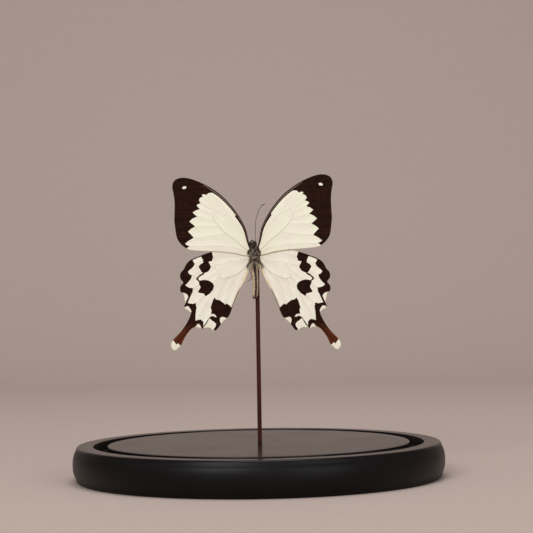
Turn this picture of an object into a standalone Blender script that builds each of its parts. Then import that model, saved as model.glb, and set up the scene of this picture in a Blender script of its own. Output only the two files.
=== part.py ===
"""A swallowtail butterfly, mounted upright on a thin rod in a round turned dome base.

Units are metres and +Z is up. The origin is the centre of the base's underside. The back of the insect
(its upper side) faces -Y, its head points up, and its right wings are on the +X side.
"""

import bmesh
import bpy
from math import cos, pi, radians, sin, sqrt
from mathutils import Vector

MM = 0.001
FIT_GAP = 0.3 * MM

# Base: a turned plinth with a ring groove that a glass dome stands in
BASE_RADIUS = 100 * MM
BASE_HEIGHT = 18.8 * MM
BASE_TOP_RADIUS = 98.2 * MM
BASE_FOOT_RADIUS = 98.4 * MM
BASE_TOP_ROUND = 1.6 * MM
BASE_FOOT_ROUND = 2.0 * MM
BASE_BARREL = ((0.70, 0.35 * MM), (0.48, 0.0), (0.26, 0.5 * MM))  # height as a share, inset
GROOVE_OUTER_RADIUS = 88.9 * MM
GROOVE_INNER_RADIUS = 81.2 * MM
GROOVE_DEPTH = 5.5 * MM
GROOVE_EDGE_BREAK = 0.3 * MM
BASE_STEPS = 96

# Rod: its foot stands in a drilled hole, and its pin holds the thorax
ROD_X = 0.67 * MM
ROD_RADIUS = 1.15 * MM
ROD_HOLE_DEPTH = 9 * MM
ROD_HOLE_RADIUS = ROD_RADIUS + 0.15 * MM
ROD_SHOULDER = 92.6 * MM
ROD_TAPER = 3.2 * MM
PIN_RADIUS = 0.4 * MM
PIN_TOP = 100.4 * MM
PIN_HOLE_RADIUS = PIN_RADIUS + 0.2 * MM
ROD_STEPS = 16

# Insect: where its body stands, measured at the level of the wing hinges
BODY_X = -0.61 * MM
BODY_Y = -3.0 * MM
HINGE_LEVEL = 99.44 * MM
BODY_LEAN = radians(0.95)
BODY_TURN = radians(0.7)

# Wings: an outline lies in its wing's own plane, with x out from the hinge and z up the body
HINGE_Y = -1.85 * MM
WING_DIHEDRAL = radians(16.1)
WING_THICKNESS = 0.5 * MM
WING_LIFT = 0.55 * MM
CAMBER = 1.2 * MM
CAMBER_CENTRE = 21 * MM
WING_STRIP = 7 * MM
WING_SEATS = {
    # hinge to the right of the body's axis, hinge above the hinge level, both in mm, and swing in degrees
    "forewing_left": (-2.65, 0.0, 0.5),
    "forewing_right": (2.35, 0.3, -1.0),
    "hindwing_left": (-1.95, 0.2, -0.6),
    "hindwing_right": (2.65, -0.2, -3.1),
}

FOREWING_OUTLINE_MM = (
    # root and front edge
    (0.4, 1.4), (0.5, 4.4), (0.6, 9.5), (1.8, 15.5), (4.8, 21.5), (9.0, 27.3), (14.0, 32.6),
    (19.5, 36.9), (25.8, 40.4), (32.2, 42.9), (36.9, 43.4),
    # tip and outer margin
    (40.3, 42.1), (41.7, 39.0), (41.2, 35.4), (40.7, 30.8), (40.8, 25.6), (41.0, 20.6),
    (40.5, 15.4), (39.8, 11.3), (37.7, 8.0), (34.9, 5.8),
    # hind edge
    (32.0, 4.9), (26.0, 4.4), (18.0, 4.0), (9.0, 3.0), (4.0, 1.8),
)
HINDWING_OUTLINE_MM = (
    # root and front edge, which the forewing covers
    (0.9, -3.4), (0.9, -0.6), (1.8, 2.6), (5.5, 6.0), (11.0, 6.7), (16.0, 5.6), (21.8, 4.0),
    (25.0, 3.1), (28.3, 2.0), (31.5, 0.9), (34.3, -0.6), (36.2, -2.8),
    # scalloped outer margin down to the tail
    (37.1, -4.6), (38.8, -6.5), (39.4, -8.6), (38.8, -10.2), (37.8, -11.8), (39.3, -13.7),
    (39.6, -15.7), (39.1, -16.9), (38.0, -17.7), (37.5, -20.2), (37.2, -22.8), (37.8, -25.1),
    (36.0, -26.5), (34.4, -27.9), (34.9, -29.9),
    # tail
    (36.8, -33.4), (40.0, -37.6), (44.3, -41.8), (45.5, -43.4), (45.7, -45.5), (44.6, -47.2),
    (43.2, -47.4), (41.6, -46.0), (40.3, -45.0), (38.4, -41.4), (35.4, -37.4), (33.0, -35.9),
    # lower margin and inner edge
    (30.7, -35.9), (28.8, -36.7), (26.8, -36.2), (24.5, -36.4), (22.8, -37.8), (21.0, -37.8),
    (19.2, -35.9), (17.2, -33.4), (15.0, -31.9), (13.2, -29.9), (11.5, -26.0), (9.4, -21.4),
    (6.6, -16.2), (3.6, -11.2), (1.6, -6.8),
)

# Body: stations along an axis, as height, sideways shift, forward shift, half width, half depth
THORAX_STATIONS_MM = (
    (-3.5, 0.0, 0.5, 0.9, 1.2), (-2.8, 0.0, 0.5, 1.9, 2.4), (-1.2, 0.0, 0.5, 2.7, 3.4),
    (0.8, 0.0, 0.5, 2.95, 3.7), (2.8, 0.0, 0.4, 2.85, 3.5), (4.4, -0.2, 0.3, 2.3, 2.8),
    (5.3, -0.3, 0.2, 1.6, 2.0), (5.8, -0.4, 0.2, 0.8, 1.0),
)
ABDOMEN_STATIONS_MM = (
    (-22.0, -0.65, 0.0, 0.4, 0.5), (-21.0, -0.55, 0.0, 1.0, 1.1), (-19.2, -0.3, 0.0, 1.5, 1.45),
    (-17.0, -0.1, 0.0, 1.5, 1.5), (-14.5, 0.1, 0.0, 1.5, 1.6), (-12.0, 0.1, 0.0, 1.55, 1.65),
    (-9.5, 0.0, 0.0, 1.65, 1.65), (-7.0, -0.2, 0.0, 1.8, 1.65), (-5.2, -0.35, 0.0, 1.9, 1.6),
    (-4.2, -0.4, 0.0, 1.4, 1.2), (-3.85, -0.4, 0.0, 0.8, 0.7),
)
HEAD_CENTRE_MM = (-0.75, 0.3, 7.6)
HEAD_HALF_MM = (1.5, 1.3, 1.45)
EYE_OFFSET_MM = (1.3, 0.25, -0.15)
EYE_RADIUS = 1.05 * MM
PALP_OFFSET_MM = (0.45, 0.7, 1.1)
PALP_HALF_MM = (0.35, 0.4, 0.95)
BODY_SIDES = 16
EYE_SIDES = 12
PALP_SIDES = 8
ELLIPSOID_CUT = 0.98  # share of the half height at which its ends are cut flat
SHARP_EDGE = radians(35)

# Legs: route points from the coxa to the tip of the tarsus, in the body's own frame
LEG_RADIUS = 0.28 * MM
LEG_TIP_SCALE = 0.55
LEG_ROUTES_MM = {
    "leg_front_left": ((-0.9, 4.5, 3.6), (-2.0, 5.7, 5.9), (-1.5, 6.5, 2.4), (-1.2, 6.3, -0.8)),
    "leg_front_right": ((0.9, 4.5, 3.6), (2.0, 5.7, 5.9), (1.5, 6.5, 2.4), (1.2, 6.3, -0.8)),
    "leg_middle_left": ((-1.1, 4.8, 1.4), (-2.6, 5.4, 3.4), (-2.2, 5.2, -3.6), (-0.95, 2.7, -13.3)),
    "leg_middle_right": ((1.1, 4.8, 1.4), (2.6, 5.4, 3.4), (2.6, 5.6, -1.2), (1.9, 5.9, -5.6)),
    "leg_hind_left": ((-1.2, 4.7, -0.8), (-3.2, 4.6, 0.8), (-2.9, 3.2, -6.2), (-1.75, 2.3, -10.6),
                      (-4.35, 1.9, -12.9)),
    "leg_hind_right": ((1.2, 4.7, -0.8), (3.2, 4.7, 0.8), (2.4, 5.0, -4.6), (1.0, 5.0, -9.4)),
}

# Antenna and coiled tongue, in the body's own frame
ANTENNA_RADIUS = 0.17 * MM
ANTENNA_CLUB_SCALES = (1.2, 1.6, 0.8)
ANTENNA_ROUTE_MM = (
    (1.05, -0.4, 9.0), (0.9, -1.0, 11.2), (0.86, -1.2, 13.9), (1.05, -1.3, 17.2), (1.46, -1.35, 20.6),
    (2.2, -1.35, 23.2), (3.24, -1.35, 25.75), (4.5, -1.35, 27.75), (5.5, -1.35, 28.5),
    (6.65, -1.35, 28.95),
)
TONGUE_RADIUS = 0.14 * MM
TONGUE_TURNS = 2.25
TONGUE_COIL_RADIUS = 1.05 * MM
TONGUE_PITCH = 0.36 * MM
TONGUE_CENTRE_MM = (-0.75, 3.1, 7.6)
TONGUE_POINTS_PER_TURN = 12

COLOURS = {
    "ebonised_wood": ((0.012, 0.009, 0.008), 0.32, 0.0),
    "bronze_rod": ((0.06, 0.02, 0.013), 0.35, 0.6),
    "body_fur": ((0.05, 0.04, 0.035), 0.9, 0.0),
    "cream_wing": ((0.86, 0.82, 0.68), 0.7, 0.0),
    "dark_chitin": ((0.03, 0.018, 0.012), 0.5, 0.0),
}


def material(name):
    """The Principled material of that name, made once."""
    found = bpy.data.materials.get(name)
    if found:
        return found
    colour, roughness, metallic = COLOURS[name]
    made = bpy.data.materials.new(name)
    made.use_nodes = True
    shader = made.node_tree.nodes["Principled BSDF"]
    shader.inputs["Base Color"].default_value = (*colour, 1.0)
    shader.inputs["Roughness"].default_value = roughness
    shader.inputs["Metallic"].default_value = metallic
    return made


def add_object(name, data, material_name, parent=None):
    """Links a new object with its material, and puts it in its parent's frame."""
    made = bpy.data.objects.new(name, data)
    bpy.context.scene.collection.objects.link(made)
    data.materials.append(material(material_name))
    made.parent = parent
    return made


def add_mesh(name, points, faces, material_name, parent=None):
    """A mesh object, smooth on its round stretches and sharp at its edges."""
    mesh = bpy.data.meshes.new(name)
    mesh.from_pydata([tuple(point) for point in points], [], faces)
    mesh.shade_smooth()
    made = add_object(name, mesh, material_name, parent)
    mesh.set_sharp_from_angle(angle=SHARP_EDGE)
    return made


def in_mm(point):
    return Vector(point) * MM


def arc(centre, radius, start, end, steps):
    """Points (radius from the axis, height) along an arc whose angles are in degrees."""
    turn = [radians(start + (end - start) * i / steps) for i in range(steps + 1)]
    return [(centre[0] + radius * cos(t), centre[1] + radius * sin(t)) for t in turn]


def turned(name, profile, steps, material_name):
    """A solid of revolution about Z from a profile that runs from the top of the axis to its bottom."""
    mesh = bpy.data.meshes.new(name)
    points = [(radius, 0.0, height) for radius, height in profile]
    mesh.from_pydata(points, [(i, i + 1) for i in range(len(points) - 1)], [])
    made = add_object(name, mesh, material_name)
    screw = made.modifiers.new("turned", "SCREW")
    screw.axis = "Z"
    screw.steps = steps
    screw.render_steps = steps
    screw.use_merge_vertices = True
    screw.merge_threshold = 0.00001
    screw.use_smooth_shade = True
    return made


def hide_helper(helper):
    helper.hide_render = True
    helper.display_type = "WIRE"


def ring_faces(rings, sides):
    """Faces of a closed lofted body whose rings of points follow each other."""
    faces = [tuple(reversed(range(sides)))]
    for ring in range(rings - 1):
        low = ring * sides
        for i in range(sides):
            j = (i + 1) % sides
            faces.append((low + i, low + j, low + sides + j, low + sides + i))
    last = (rings - 1) * sides
    faces.append(tuple(range(last, last + sides)))
    return faces


def drill(target, radius, bottom, top):
    """Cuts a round hole for the rod, along Z, into the target."""
    points = []
    for height in (bottom, top):
        for i in range(ROD_STEPS):
            turn = 2 * pi * i / ROD_STEPS
            points.append((ROD_X + radius * cos(turn), radius * sin(turn), height))
    cutter = add_mesh(f"{target.name}_drill", points, ring_faces(2, ROD_STEPS), "bronze_rod")
    hide_helper(cutter)
    cut = target.modifiers.new("drilled", "BOOLEAN")
    cut.operation = "DIFFERENCE"
    cut.solver = "EXACT"
    cut.object = cutter


def base():
    """The plinth: flat disc and rim with the dome's groove between them, and a softly barrelled side."""
    groove_floor = BASE_HEIGHT - GROOVE_DEPTH
    edge = GROOVE_EDGE_BREAK
    profile = [
        (0.0, BASE_HEIGHT),
        (GROOVE_INNER_RADIUS - edge, BASE_HEIGHT),
        (GROOVE_INNER_RADIUS, BASE_HEIGHT - edge),
        (GROOVE_INNER_RADIUS, groove_floor),
        (GROOVE_OUTER_RADIUS, groove_floor),
        (GROOVE_OUTER_RADIUS, BASE_HEIGHT - edge),
        (GROOVE_OUTER_RADIUS + edge, BASE_HEIGHT),
    ]
    top_centre = (BASE_TOP_RADIUS - BASE_TOP_ROUND, BASE_HEIGHT - BASE_TOP_ROUND)
    profile += arc(top_centre, BASE_TOP_ROUND, 90, 15, 4)
    profile += [(BASE_RADIUS - inset, share * BASE_HEIGHT) for share, inset in BASE_BARREL]
    foot_centre = (BASE_FOOT_RADIUS - BASE_FOOT_ROUND, BASE_FOOT_ROUND)
    profile += arc(foot_centre, BASE_FOOT_ROUND, -10, -90, 4)
    profile.append((0.0, 0.0))
    made = turned("base", profile, BASE_STEPS, "ebonised_wood")
    drill(made, ROD_HOLE_RADIUS, BASE_HEIGHT - ROD_HOLE_DEPTH, BASE_HEIGHT + ROD_HOLE_DEPTH)


def rod():
    """The rod, pointed to a thin pin where it enters the thorax."""
    shoulder = BASE_HEIGHT + ROD_SHOULDER
    pin_top = BASE_HEIGHT + PIN_TOP
    profile = [
        (0.0, pin_top),
        (PIN_RADIUS * 0.5, pin_top - PIN_RADIUS * 0.3),
        (PIN_RADIUS, pin_top - PIN_RADIUS),
        (PIN_RADIUS, shoulder + ROD_TAPER),
        (ROD_RADIUS, shoulder),
        (ROD_RADIUS, BASE_HEIGHT - ROD_HOLE_DEPTH + FIT_GAP),
        (0.0, BASE_HEIGHT - ROD_HOLE_DEPTH + FIT_GAP),
    ]
    turned("rod", profile, ROD_STEPS, "bronze_rod").location.x = ROD_X


def loft(name, stations_mm, sides, material_name, parent):
    """A closed body through elliptical stations, listed from its low end to its high end."""
    points = []
    for height, shift, forward, half_width, half_depth in stations_mm:
        for i in range(sides):
            turn = 2 * pi * i / sides
            across = shift + half_width * cos(turn)
            deep = forward + half_depth * sin(turn)
            points.append(in_mm((across, deep, height)))
    return add_mesh(name, points, ring_faces(len(stations_mm), sides), material_name, parent)


def ellipsoid_stations(centre_mm, half_mm, count):
    """Stations of an ellipsoid, with small flat ends."""
    stations = []
    for i in range(count):
        height = ELLIPSOID_CUT * (2 * i / (count - 1) - 1)
        scale = sqrt(1 - height * height)
        stations.append((centre_mm[2] + height * half_mm[2], centre_mm[0], centre_mm[1],
                         scale * half_mm[0], scale * half_mm[1]))
    return stations


def join_to(target, piece):
    hide_helper(piece)
    union = target.modifiers.new(f"with_{piece.name}", "BOOLEAN")
    union.operation = "UNION"
    union.solver = "EXACT"
    union.object = piece


def head(body):
    """Head capsule joined with two round eyes and two upright palps."""
    capsule_stations = ellipsoid_stations(HEAD_CENTRE_MM, HEAD_HALF_MM, 9)
    made = loft("head", capsule_stations, BODY_SIDES, "dark_chitin", body)
    eye_half = (EYE_RADIUS / MM,) * 3
    for side, label in ((-1, "left"), (1, "right")):
        eye_centre = [c + o * s for c, o, s in zip(HEAD_CENTRE_MM, EYE_OFFSET_MM, (side, 1, 1))]
        eye_stations = ellipsoid_stations(eye_centre, eye_half, 7)
        join_to(made, loft(f"eye_{label}", eye_stations, EYE_SIDES, "dark_chitin", body))
        palp_centre = [c + o * s for c, o, s in zip(HEAD_CENTRE_MM, PALP_OFFSET_MM, (side, 1, 1))]
        palp_stations = ellipsoid_stations(palp_centre, PALP_HALF_MM, 6)
        join_to(made, loft(f"palp_{label}", palp_stations, PALP_SIDES, "dark_chitin", body))


def rounded(outline_mm, cuts=2):
    """A closed outline with each side split by a Catmull-Rom curve through its corners."""
    points = [Vector(point) for point in outline_mm]
    count = len(points)
    curve = []
    for i in range(count):
        before, here, after, beyond = (points[(i + k) % count] for k in (-1, 0, 1, 2))
        for step in range(cuts):
            t = step / cuts
            curve.append(0.5 * (2 * here + (after - before) * t
                                + (2 * before - 5 * here + 4 * after - beyond) * t * t
                                + (3 * here - before - 3 * after + beyond) * t * t * t))
    return curve


def camber(out):
    """How far a wing bulges towards the insect's back, at a distance out from its hinge."""
    return CAMBER * (1 - ((out - CAMBER_CENTRE) / CAMBER_CENTRE) ** 2)


def wing(name, outline_mm, side, lift, body):
    """A thin closed wing: its outline filled, cut into strips, bent to its camber and thickened."""
    across_mm, height_mm, swing = WING_SEATS[name]
    sheet = bmesh.new()
    corners = [sheet.verts.new((side * p.x * MM, 0.0, p.y * MM)) for p in rounded(outline_mm)]
    sheet.faces.new(corners if side < 0 else list(reversed(corners)))
    span = max(abs(v.co.x) for v in sheet.verts)
    for i in range(1, int(span / WING_STRIP) + 1):
        parts = sheet.verts[:] + sheet.edges[:] + sheet.faces[:]
        place = (side * i * WING_STRIP, 0, 0)
        bmesh.ops.bisect_plane(sheet, geom=parts, plane_co=place, plane_no=(1, 0, 0))
    bmesh.ops.triangulate(sheet, faces=sheet.faces[:])
    for v in sheet.verts:
        v.co.y = -lift - camber(abs(v.co.x))
    mesh = bpy.data.meshes.new(name)
    sheet.to_mesh(mesh)
    sheet.free()
    mesh.shade_smooth()
    made = add_object(name, mesh, "cream_wing", body)
    made.location = (across_mm * MM, HINGE_Y, height_mm * MM)
    made.rotation_euler = (0.0, -side * radians(swing), -side * WING_DIHEDRAL)
    thicken = made.modifiers.new("thickness", "SOLIDIFY")
    thicken.thickness = WING_THICKNESS
    thicken.offset = 0.0
    thicken.use_rim = True


def tube(name, points, radius, scales, parent):
    """A six-sided tube along a route, with closed ends, whose radius follows the scales."""
    curve = bpy.data.curves.new(name, "CURVE")
    curve.dimensions = "3D"
    curve.bevel_depth = radius
    curve.bevel_resolution = 1
    curve.use_fill_caps = True
    spline = curve.splines.new("POLY")
    spline.points.add(len(points) - 1)
    for node, place, scale in zip(spline.points, points, scales):
        node.co = (*place, 1.0)
        node.radius = scale
    add_object(name, curve, "dark_chitin", parent)


def leg(name, route_mm, body):
    """A folded leg: coxa and femur, tibia, and a thinner tarsus."""
    last = len(route_mm) - 1
    scales = [1 - (1 - LEG_TIP_SCALE) * i / last for i in range(last + 1)]
    tube(name, [in_mm(p) for p in route_mm], LEG_RADIUS, scales, body)


def antenna(body):
    """The one antenna, a thin thread that thickens into a slight club."""
    count = len(ANTENNA_ROUTE_MM)
    club = [1.0] * (count - len(ANTENNA_CLUB_SCALES)) + list(ANTENNA_CLUB_SCALES)
    tube("antenna_right", [in_mm(p) for p in ANTENNA_ROUTE_MM], ANTENNA_RADIUS, club, body)


def tongue(body):
    """The proboscis, coiled flat in the insect's mirror plane below its head."""
    count = int(TONGUE_TURNS * TONGUE_POINTS_PER_TURN) + 1
    centre = in_mm(TONGUE_CENTRE_MM)
    points = []
    for i in range(count):
        turn = 2 * pi * i / TONGUE_POINTS_PER_TURN
        radius = TONGUE_COIL_RADIUS - TONGUE_PITCH * turn / (2 * pi)
        points.append(centre + Vector((0.0, -radius * cos(turn), -radius * sin(turn))))
    tube("proboscis", points, TONGUE_RADIUS, [1.0] * count, body)


def insect():
    """The butterfly, in the frame of its body: +X its right side, -Y its back, +Z towards its head."""
    body = bpy.data.objects.new("insect_frame", None)
    bpy.context.scene.collection.objects.link(body)
    body.location = (BODY_X, BODY_Y, BASE_HEIGHT + HINGE_LEVEL)
    body.rotation_euler = (0.0, -BODY_LEAN, -BODY_TURN)

    thorax = loft("thorax", THORAX_STATIONS_MM, BODY_SIDES, "body_fur", body)
    drill(thorax, PIN_HOLE_RADIUS, BASE_HEIGHT + ROD_SHOULDER, BASE_HEIGHT + PIN_TOP + FIT_GAP)
    loft("abdomen", ABDOMEN_STATIONS_MM, BODY_SIDES, "body_fur", body)
    head(body)
    tongue(body)
    antenna(body)
    for name, route_mm in LEG_ROUTES_MM.items():
        leg(name, route_mm, body)
    for side, label in ((-1, "left"), (1, "right")):
        wing(f"forewing_{label}", FOREWING_OUTLINE_MM, side, WING_LIFT, body)
        wing(f"hindwing_{label}", HINDWING_OUTLINE_MM, side, -WING_LIFT, body)


def main():
    for old in list(bpy.data.objects):
        bpy.data.objects.remove(old, do_unlink=True)
    base()
    rod()
    insect()


main()
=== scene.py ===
"""The looks of a swallowtail butterfly on a rod, in a round, black, turned base with a dome's groove."""

from math import cos, pi, radians, sin, sqrt

import bpy
import numpy as np
from mathutils import Matrix, Vector, geometry


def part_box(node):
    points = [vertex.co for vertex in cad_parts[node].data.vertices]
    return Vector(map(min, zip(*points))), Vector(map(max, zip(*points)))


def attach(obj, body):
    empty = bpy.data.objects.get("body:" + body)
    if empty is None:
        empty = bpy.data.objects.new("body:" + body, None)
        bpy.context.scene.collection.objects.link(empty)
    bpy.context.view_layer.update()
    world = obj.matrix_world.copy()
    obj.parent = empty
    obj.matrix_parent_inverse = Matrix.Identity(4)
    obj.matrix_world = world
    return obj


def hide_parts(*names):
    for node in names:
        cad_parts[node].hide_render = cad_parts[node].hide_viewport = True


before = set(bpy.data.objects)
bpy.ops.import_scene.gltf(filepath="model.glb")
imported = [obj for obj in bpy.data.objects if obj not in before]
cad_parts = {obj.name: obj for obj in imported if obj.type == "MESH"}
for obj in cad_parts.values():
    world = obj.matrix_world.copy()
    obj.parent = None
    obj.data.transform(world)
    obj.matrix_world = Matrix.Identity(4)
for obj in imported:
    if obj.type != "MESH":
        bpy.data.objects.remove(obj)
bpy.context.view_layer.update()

MM = 0.001

# The insect's place in the frame, as in the CAD: the wings' hinge level on the body's axis
BASE_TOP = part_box("base")[1].z
BODY_PLACE = Vector((-0.61, -3.0, 99.44)) * MM + Vector((0, 0, BASE_TOP))
BODY_LEAN = radians(0.95)
BODY_TURN = radians(0.7)
BODY = (
    Matrix.Translation(BODY_PLACE)
    @ Matrix.Rotation(-BODY_TURN, 4, "Z")
    @ Matrix.Rotation(-BODY_LEAN, 4, "Y")
)

# ---------------------------------------------------------------- curves and distances


def catmull(points, cuts, closed):
    """A smooth curve through points of any dimension, with that many steps between neighbours."""
    points = np.array(points, float)
    if closed:
        ring = np.vstack([points[-1:], points, points[:2]])
    else:
        ring = np.vstack([2 * points[:1] - points[1:2], points, 2 * points[-1:] - points[-2:-1]])
    steps = np.arange(cuts)[:, None] / cuts
    curve = []
    for before, here, after, beyond in zip(ring[:-3], ring[1:-2], ring[2:-1], ring[3:]):
        curve.append(0.5 * (
            2 * here
            + (after - before) * steps
            + (2 * before - 5 * here + 4 * after - beyond) * steps ** 2
            + (3 * here - before - 3 * after + beyond) * steps ** 3
        ))
    if not closed:
        curve.append(points[-1:])
    return np.vstack(curve)


def evenly(curve, spacing, closed):
    """The same curve with its points that far apart."""
    if closed:
        curve = np.vstack([curve, curve[:1]])
    along = np.r_[0, np.cumsum(np.linalg.norm(np.diff(curve, axis=0), axis=1))]
    count = max(2, int(round(along[-1] / spacing)) + 1)
    places = np.linspace(0, along[-1], count)
    even = np.stack([np.interp(places, along, curve[:, k]) for k in range(curve.shape[1])], -1)
    return even[:-1] if closed else even


def distance(points, line, closed=False):
    """Each point's distance to a line through the given corners."""
    line = np.array(line, float)
    starts, ends = line[:-1], line[1:]
    if closed:
        starts, ends = line, np.roll(line, -1, axis=0)
    nearest = np.full(len(points), np.inf)
    for start, end in zip(starts, ends):
        edge = end - start
        length = max(edge @ edge, 1e-12)
        share = np.clip((points - start) @ edge / length, 0, 1)
        gap = points - start - share[:, None] * edge
        nearest = np.minimum(nearest, (gap ** 2).sum(1))
    return np.sqrt(nearest)


def inside(points, outline):
    """Whether each point lies inside a closed outline."""
    outline = np.array(outline, float)
    crossed = np.zeros(len(points), bool)
    x, y = points[:, 0], points[:, 1]
    for (x1, y1), (x2, y2) in zip(outline, np.roll(outline, -1, axis=0)):
        spans = (y1 > y) != (y2 > y)
        at = x1 + (y - y1) * (x2 - x1) / (y2 - y1 if y2 != y1 else 1.0)
        crossed ^= spans & (x < at)
    return crossed


def depth_in(points, outline):
    """Distance to a closed outline, positive inside it and negative outside."""
    return np.where(inside(points, outline), 1, -1) * distance(points, outline, True)


# ---------------------------------------------------------------- pieces


def linked(name, data):
    """A new object with that data, in the scene."""
    made = bpy.data.objects.new(name, data)
    bpy.context.scene.collection.objects.link(made)
    return made


def piece(name, points_mm, faces, material, slot, replaced=(), attributes=None, place=BODY):
    """A smooth mesh piece that rides on the one body; its points are in millimetres of a local frame."""
    turn = np.array(place.to_3x3())
    points = (np.asarray(points_mm) * MM) @ turn.T + np.array(place.translation)
    mesh = bpy.data.meshes.new(name)
    mesh.from_pydata(points.tolist(), [], [tuple(face) for face in faces])
    for key, values in (attributes or {}).items():
        layer = mesh.attributes.new(key, "FLOAT", "POINT")
        layer.data.foreach_set("value", np.asarray(values, np.float32))
    mesh.shade_smooth()
    mesh.materials.append(material)
    made = linked(name, mesh)
    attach(made, "root")
    if replaced:
        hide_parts(*replaced)
    return made


def ring_faces(rings, sides, first=0):
    """Faces of a closed tube whose rings of points follow each other."""
    faces = []
    for ring in range(rings - 1):
        low = first + ring * sides
        for i in range(sides):
            j = (i + 1) % sides
            faces.append((low + i, low + j, low + sides + j, low + sides + i))
    last = first + (rings - 1) * sides
    faces.append(tuple(range(first + sides - 1, first - 1, -1)))
    faces.append(tuple(range(last, last + sides)))
    return faces


def joined(*tubes):
    """Closed tubes, each given as its points and its number of sides, as one mesh's points and faces."""
    faces = []
    first = 0
    for points, sides in tubes:
        faces += ring_faces(len(points) // sides, sides, first)
        first += len(points)
    return np.vstack([points for points, sides in tubes]), faces


def tube_rings(route, radii, sides):
    """Rings of points round a smooth route, with no twist."""
    route = np.asarray(route, float)
    along = np.gradient(route, axis=0)
    along /= np.linalg.norm(along, axis=1)[:, None]
    across = np.cross(along[0], (0.31, 0.87, 0.39))
    points = []
    for centre, direction, radius in zip(route, along, radii):
        across = across - direction * (across @ direction)
        across = across / np.linalg.norm(across)
        other = np.cross(direction, across)
        turn = np.arange(sides) * 2 * pi / sides
        ring = centre + radius * (np.cos(turn)[:, None] * across + np.sin(turn)[:, None] * other)
        points.append(ring)
    return np.vstack(points)


# ---------------------------------------------------------------- material helpers


class Shader:
    """A short way to write a node material: each call adds a node and gives back its output."""

    def __init__(self, name):
        self.material = bpy.data.materials.new(name)
        self.material.use_nodes = True
        self.tree = self.material.node_tree
        self.surface = self.tree.nodes["Principled BSDF"]

    def node(self, kind, inputs=None, **settings):
        made = self.tree.nodes.new(kind)
        for key, value in settings.items():
            setattr(made, key, value)
        for key, value in (inputs or {}).items():
            self.put(made.inputs[key], value)
        return made

    def put(self, socket, value):
        if isinstance(value, bpy.types.NodeSocket):
            self.tree.links.new(value, socket)
        else:
            socket.default_value = value

    def add(self, a, b):
        return self.node("ShaderNodeMath", {0: a, 1: b}, operation="ADD").outputs[0]

    def times(self, a, b):
        return self.node("ShaderNodeMath", {0: a, 1: b}, operation="MULTIPLY").outputs[0]

    def attribute(self, name):
        return self.node("ShaderNodeAttribute", attribute_name=name).outputs["Fac"]

    def step(self, value, low, high, top=1.0, bottom=0.0):
        """A smooth step of value, from bottom at low to top at high."""
        ranged = self.node("ShaderNodeMapRange", interpolation_type="SMOOTHSTEP")
        for key, number in enumerate((value, low, high, bottom, top)):
            self.put(ranged.inputs[key], number)
        return ranged.outputs[0]

    def coords(self, scale=(1, 1, 1)):
        place = self.node("ShaderNodeTexCoord").outputs["Object"]
        return self.node("ShaderNodeMapping", {"Vector": place, "Scale": scale}).outputs[0]

    def noise(self, scale, stretch=(1, 1, 1), detail=3.0, rough=0.5, distort=0.0):
        """Noise with features of about 1/scale metres, from 0 to 1."""
        inputs = {"Vector": self.coords(stretch), "Scale": scale, "Detail": detail,
                  "Roughness": rough, "Distortion": distort}
        return self.node("ShaderNodeTexNoise", inputs).outputs["Fac"]

    def lines(self, value, count, low, high):
        """Fine uneven lines, from 0 to 1, about that many for each unit of value."""
        inputs = {"W": self.times(value, count), "Scale": 1.0, "Detail": 4.0, "Roughness": 0.6}
        made = self.node("ShaderNodeTexNoise", inputs, noise_dimensions="1D").outputs["Fac"]
        return self.step(made, low, high)

    def cells(self, scale, stretch=(1, 1, 1)):
        inputs = {"Vector": self.coords(stretch), "Scale": scale}
        return self.node("ShaderNodeTexVoronoi", inputs).outputs["Distance"]

    def mix(self, share, a, b):
        made = self.node("ShaderNodeMix", data_type="RGBA")
        for key, value in ((0, share), (6, a), (7, b)):
            if isinstance(value, tuple):
                value = (*value, 1.0)
            self.put(made.inputs[key], value)
        return made.outputs[2]

    def layered(self, colour, layers):
        """A colour under others, each given as the share of it that shows and the colour itself."""
        for share, tint in layers:
            colour = self.mix(share, colour, tint)
        return colour

    def bump(self, height, distance_m, strength):
        inputs = {"Height": height, "Distance": distance_m, "Strength": strength}
        return self.node("ShaderNodeBump", inputs).outputs[0]

    def finish(self, **sockets):
        """The material, with the surface's inputs set or linked; their names have _ for a space."""
        for key, value in sockets.items():
            self.put(self.surface.inputs[key.replace("_", " ")], value)
        return self.material


def srgb(red, green, blue):
    """A display colour, 0 to 255, as the linear numbers that shaders use."""
    shares = [value / 255 for value in (red, green, blue)]
    return tuple(s / 12.92 if s <= 0.04045 else ((s + 0.055) / 1.055) ** 2.4 for s in shares)


# ---------------------------------------------------------------- wings

HINGE_Y = -1.85
WING_TILT = radians(16.1)  # how far each wing leans forward from the body's plane
WING_LIFT = 0.55  # half the step from the hindwing out to the forewing
CAMBER = 1.2
CAMBER_CENTRE = 21.0
HALF_SKIN = 0.07
LATTICE = 0.3  # spacing of a wing mesh's points
VEIN_RISE = 0.08
VEIN_WIDTH = 0.22
SAG = 0.11
SAG_REACH = 1.6
VEIN_ROOT = (-2.0, 0.5)  # where the fine streaks of a wing fan out from
NEVER = -5.0  # a distance that is far outside a marking
WING_SEATS = {
    # hinge to the right of the axis, hinge above the hinge level, and swing in degrees
    "forewing_left": (-2.65, 0.0, 0.5),
    "forewing_right": (2.35, 0.3, -1.0),
    "hindwing_left": (-1.95, 0.2, -0.6),
    "hindwing_right": (2.65, -0.2, -3.1),
}

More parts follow.
